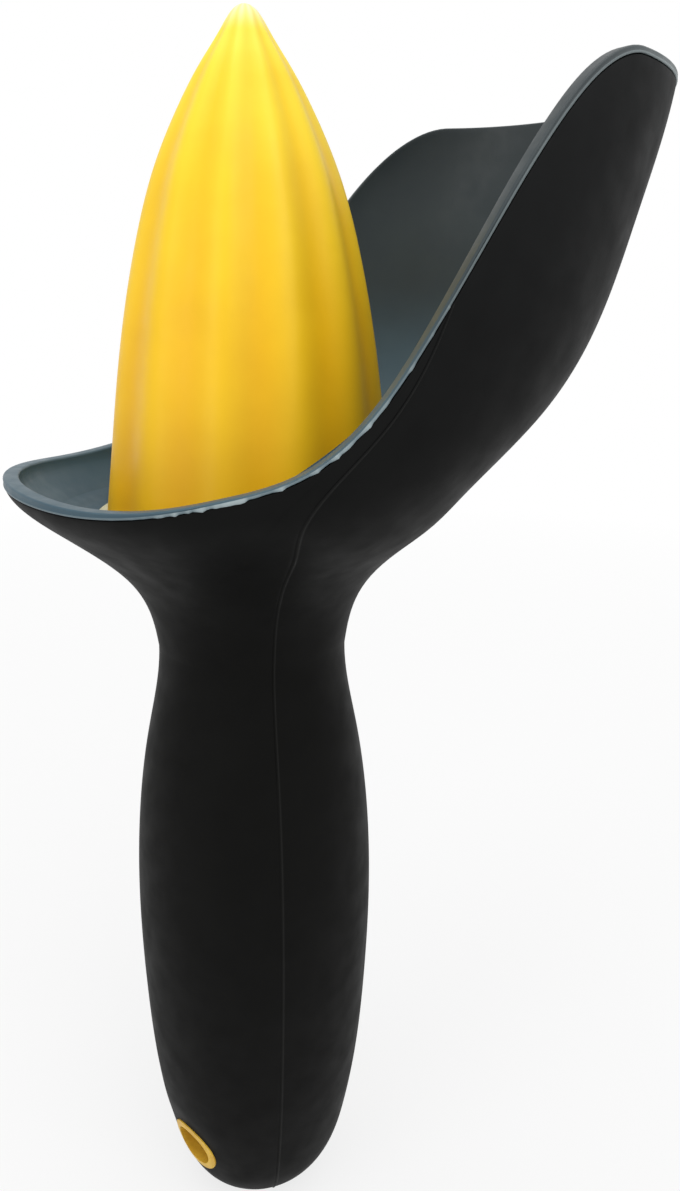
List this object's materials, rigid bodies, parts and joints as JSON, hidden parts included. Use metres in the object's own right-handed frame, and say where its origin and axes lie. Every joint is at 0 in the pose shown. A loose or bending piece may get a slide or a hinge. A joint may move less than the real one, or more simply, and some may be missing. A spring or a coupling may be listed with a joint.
{
  "type": "hand-held citrus reamer",
  "caption": "Fluted citrus reaming cone in an open scoop with one tall curved wing, on a thick soft-grip handle with a hanging hole.",
  "frame": {"origin": "centre of the hanging hole through the handle's butt", "axes": "+Z along the axis of handle and cone towards the cone's tip, +X towards the tall wing, +Y across the symmetry plane of the scoop; the hanging hole is level and turned 30 degrees from +X towards +Y"},
  "size_m": [0.0901, 0.0698, 0.1832],
  "materials": {
    "yellow_plastic": "satin moulded plastic, lemon to golden yellow",
    "pale_seal": "translucent pale silicone",
    "slate_plastic": "fine satin moulded plastic, dark slate",
    "black_soft_grip": "matte black soft-touch elastomer"
  },
  "bodies": {
    "root": {"reamer_cone": "yellow_plastic", "handle_core": "yellow_plastic", "cone_seal": "pale_seal", "scoop_liner": "slate_plastic", "grip_cover": "black_soft_grip"}
  },
  "joints": []
}
